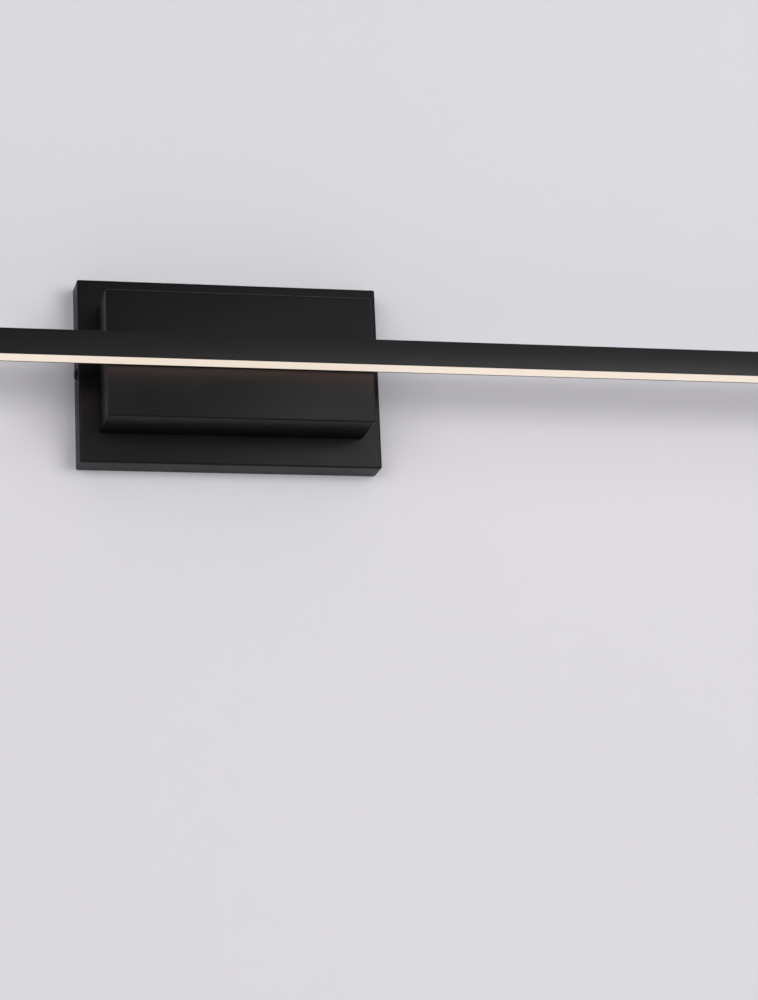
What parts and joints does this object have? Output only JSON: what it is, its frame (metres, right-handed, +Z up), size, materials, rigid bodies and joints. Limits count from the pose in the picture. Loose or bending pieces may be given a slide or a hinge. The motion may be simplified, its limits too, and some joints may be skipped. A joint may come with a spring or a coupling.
{
  "type": "vanity light bar",
  "caption": "Black wall light for over a mirror: a slim horizontal LED bar, lit underneath, on a box and backplate.",
  "frame": {"origin": "on the wall surface, behind the centre of the backplate", "axes": "+X along the bar to the right as seen from the room, +Y into the wall, +Z up"},
  "size_m": [0.914, 0.0788, 0.127],
  "materials": {
    "coat": "fine matte black powder coat on folded steel",
    "bar_coat": "fine matte black powder coat on extruded aluminium",
    "screw_black": "black screws",
    "zinc_steel": "bright zinc-plated steel",
    "screw_steel": "nickel-plated steel screws",
    "ground_green": "green-dyed steel screw",
    "opal": "opal diffuser, lit warm white from inside",
    "board_white": "white solder mask with LED packages",
    "tape": "grey thermal tape",
    "white_plastic": "white nylon",
    "driver_plastic": "pale grey moulded case",
    "board_green": "green circuit board",
    "winding": "yellow-taped transformer",
    "can": "aluminium capacitor can",
    "rubber": "black rubber",
    "wire_black": "black PVC insulation",
    "wire_white": "white PVC insulation",
    "wire_green": "green PVC insulation",
    "wire_red": "red PVC insulation"
  },
  "bodies": {
    "bracket": {"mounting_bracket": "zinc_steel", "ground_screw": "ground_green"},
    "fixture": {"backplate": "coat", "driver_housing": "coat", "bar_channel": "bar_coat", "end_cap_left": "bar_coat", "end_cap_right": "bar_coat", "cap_screw_left": "screw_black", "cap_screw_right": "screw_black", "bar_nut_strip": "zinc_steel", "earth_ring": "zinc_steel", "housing_screw_upper_left": "screw_steel", "housing_screw_upper_right": "screw_steel", "housing_screw_lower_left": "screw_steel", "housing_screw_lower_right": "screw_steel", "driver_screw_left": "screw_steel", "driver_screw_right": "screw_steel", "terminal_screw": "screw_steel", "earth_screw": "screw_steel", "bar_screw_left": "screw_steel", "bar_screw_right": "screw_steel", "bar_washer_left": "screw_steel", "bar_washer_right": "screw_steel", "bar_lens": "opal", "led_board_left": "board_white", "led_board_middle": "board_white", "led_board_right": "board_white", "thermal_tape_left": "tape", "thermal_tape_middle": "tape", "thermal_tape_right": "tape", "terminal_block": "white_plastic", "board_connector_left": "white_plastic", "board_connector_right": "white_plastic", "driver_case": "driver_plastic", "driver_lid": "driver_plastic", "driver_board": "board_green", "driver_transformer": "winding", "driver_capacitor": "can", "wire_bushing": "rubber", "wire_grommet": "rubber", "live_wire": "wire_black", "negative_wire": "wire_black", "neutral_wire": "wire_white", "earth_wire": "wire_green", "positive_wire": "wire_red"},
    "screw_left": {"side_screw_left": "screw_black"},
    "screw_right": {"side_screw_right": "screw_black"}
  },
  "joints": [
    {"name": "fixture_lift_off", "type": "slide", "parent": "bracket", "child": "fixture", "axis": [0, -1, 0], "range_m": [0, 0.06]},
    {"name": "side_screw_left_turn", "type": "hinge", "parent": "bracket", "child": "screw_left", "pos_m": [-0.1025, -0.01, 0], "axis": [-1, 0, 0], "range_deg": [0, 720]},
    {"name": "side_screw_right_turn", "type": "hinge", "parent": "bracket", "child": "screw_right", "pos_m": [0.1025, -0.01, 0], "axis": [1, 0, 0], "range_deg": [0, 720]}
  ]
}
